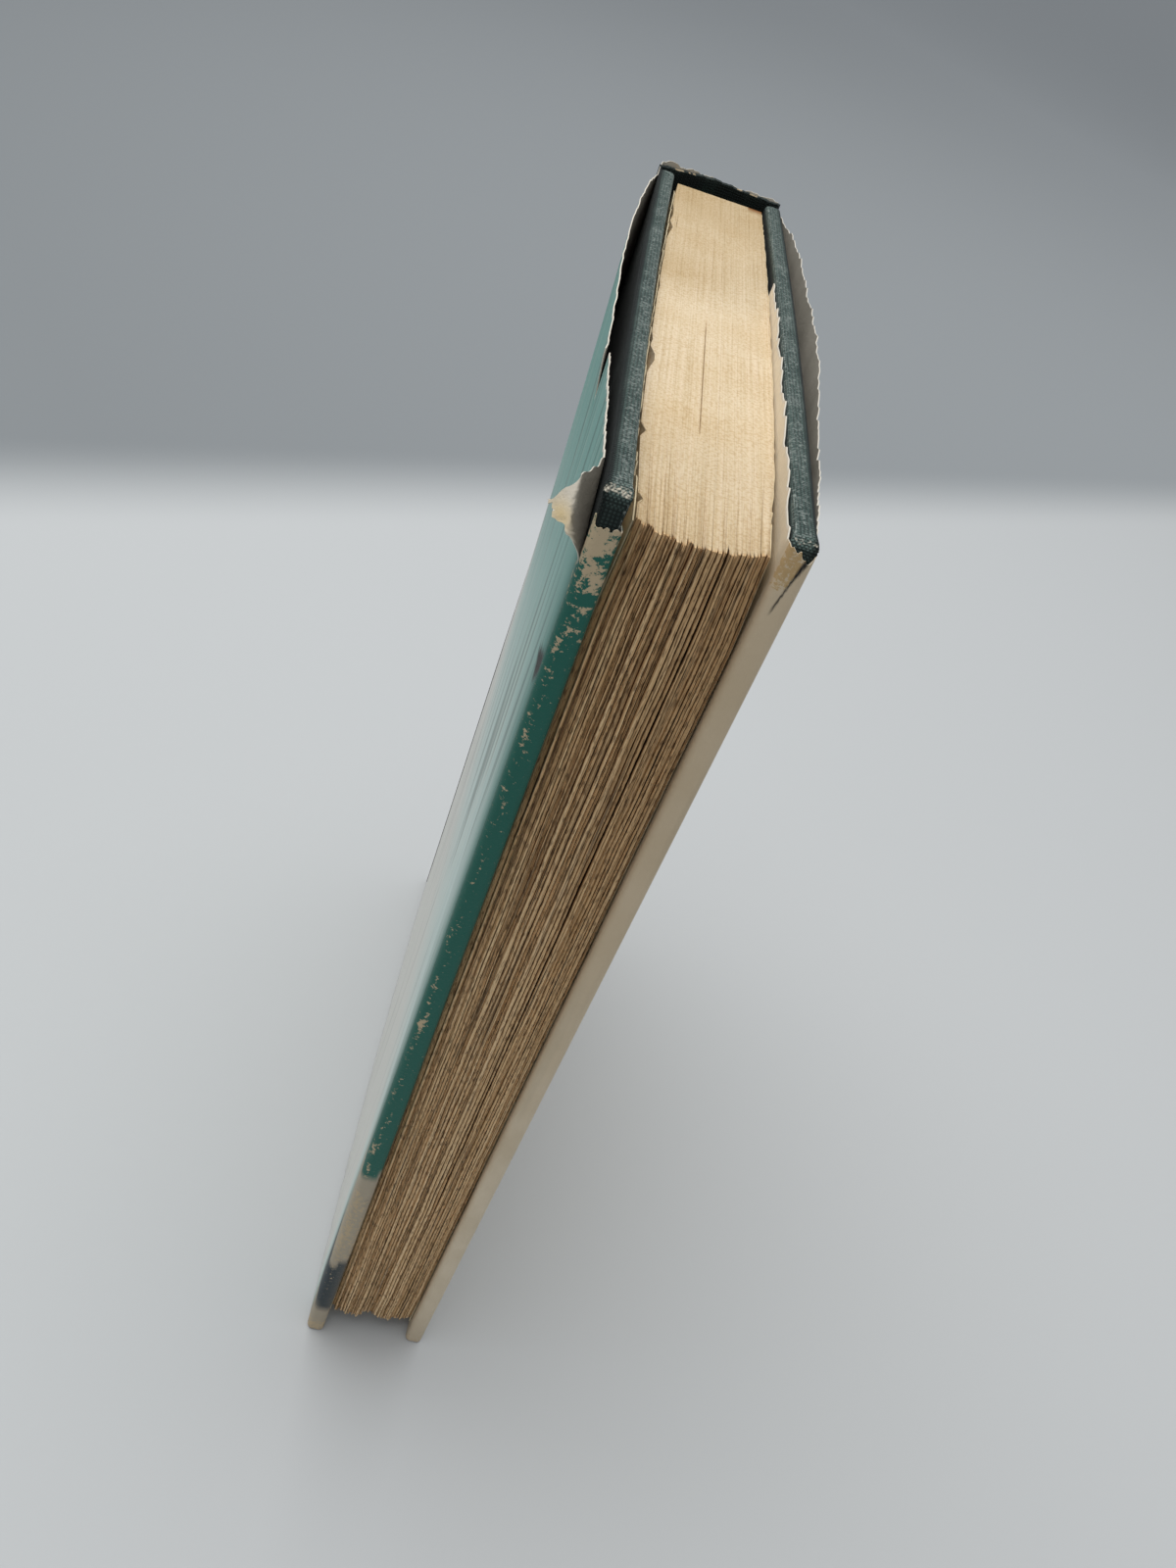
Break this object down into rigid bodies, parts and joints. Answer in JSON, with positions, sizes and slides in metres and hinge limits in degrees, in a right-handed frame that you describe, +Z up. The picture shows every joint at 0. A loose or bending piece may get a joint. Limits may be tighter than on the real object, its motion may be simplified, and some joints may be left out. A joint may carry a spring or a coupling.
{
  "type": "hardcover book",
  "caption": "Worn cloth-bound hardcover book with a rough-cut fore-edge and a loose, torn paper jacket; both covers open on cloth joints.",
  "frame": {"origin": "middle of the footprint, on the surface the book stands on", "axes": "+Z up along the book's height, +X across its thickness from the front cover to the back cover, +Y from fore-edge to spine"},
  "size_m": [0.0315, 0.1322, 0.196],
  "materials": {
    "page_paper": "matt, rough cut",
    "lining_paper": "matt brown paper",
    "endpaper": "matt, aged",
    "board": "matt",
    "book_cloth": "woven, worn pale on the edges",
    "jacket_front_paper": "printed, lightly coated, scuffed",
    "jacket_back_paper": "uncoated, aged"
  },
  "bodies": {
    "pages": {"text_block": "page_paper", "spine_lining": "lining_paper", "front_flyleaf": "endpaper", "rear_flyleaf": "endpaper", "spine_stiffener": "board", "spine_cloth": "book_cloth", "jacket_spine": "jacket_front_paper"},
    "front_cover": {"front_board": "board", "front_cloth": "book_cloth", "front_pastedown": "endpaper", "jacket_front": "jacket_front_paper"},
    "back_cover": {"back_board": "board", "back_cloth": "book_cloth", "rear_pastedown": "endpaper", "jacket_back": "jacket_back_paper"}
  },
  "joints": [
    {"name": "front_cover_joint", "type": "hinge", "parent": "pages", "child": "front_cover", "pos_m": [-0.01196, 0.0608, 0], "axis": [0, 0, -1], "range_deg": [0, 180]},
    {"name": "back_cover_joint", "type": "hinge", "parent": "pages", "child": "back_cover", "pos_m": [0.01203, 0.0628, 0], "axis": [0, 0, 1], "range_deg": [0, 180]}
  ]
}
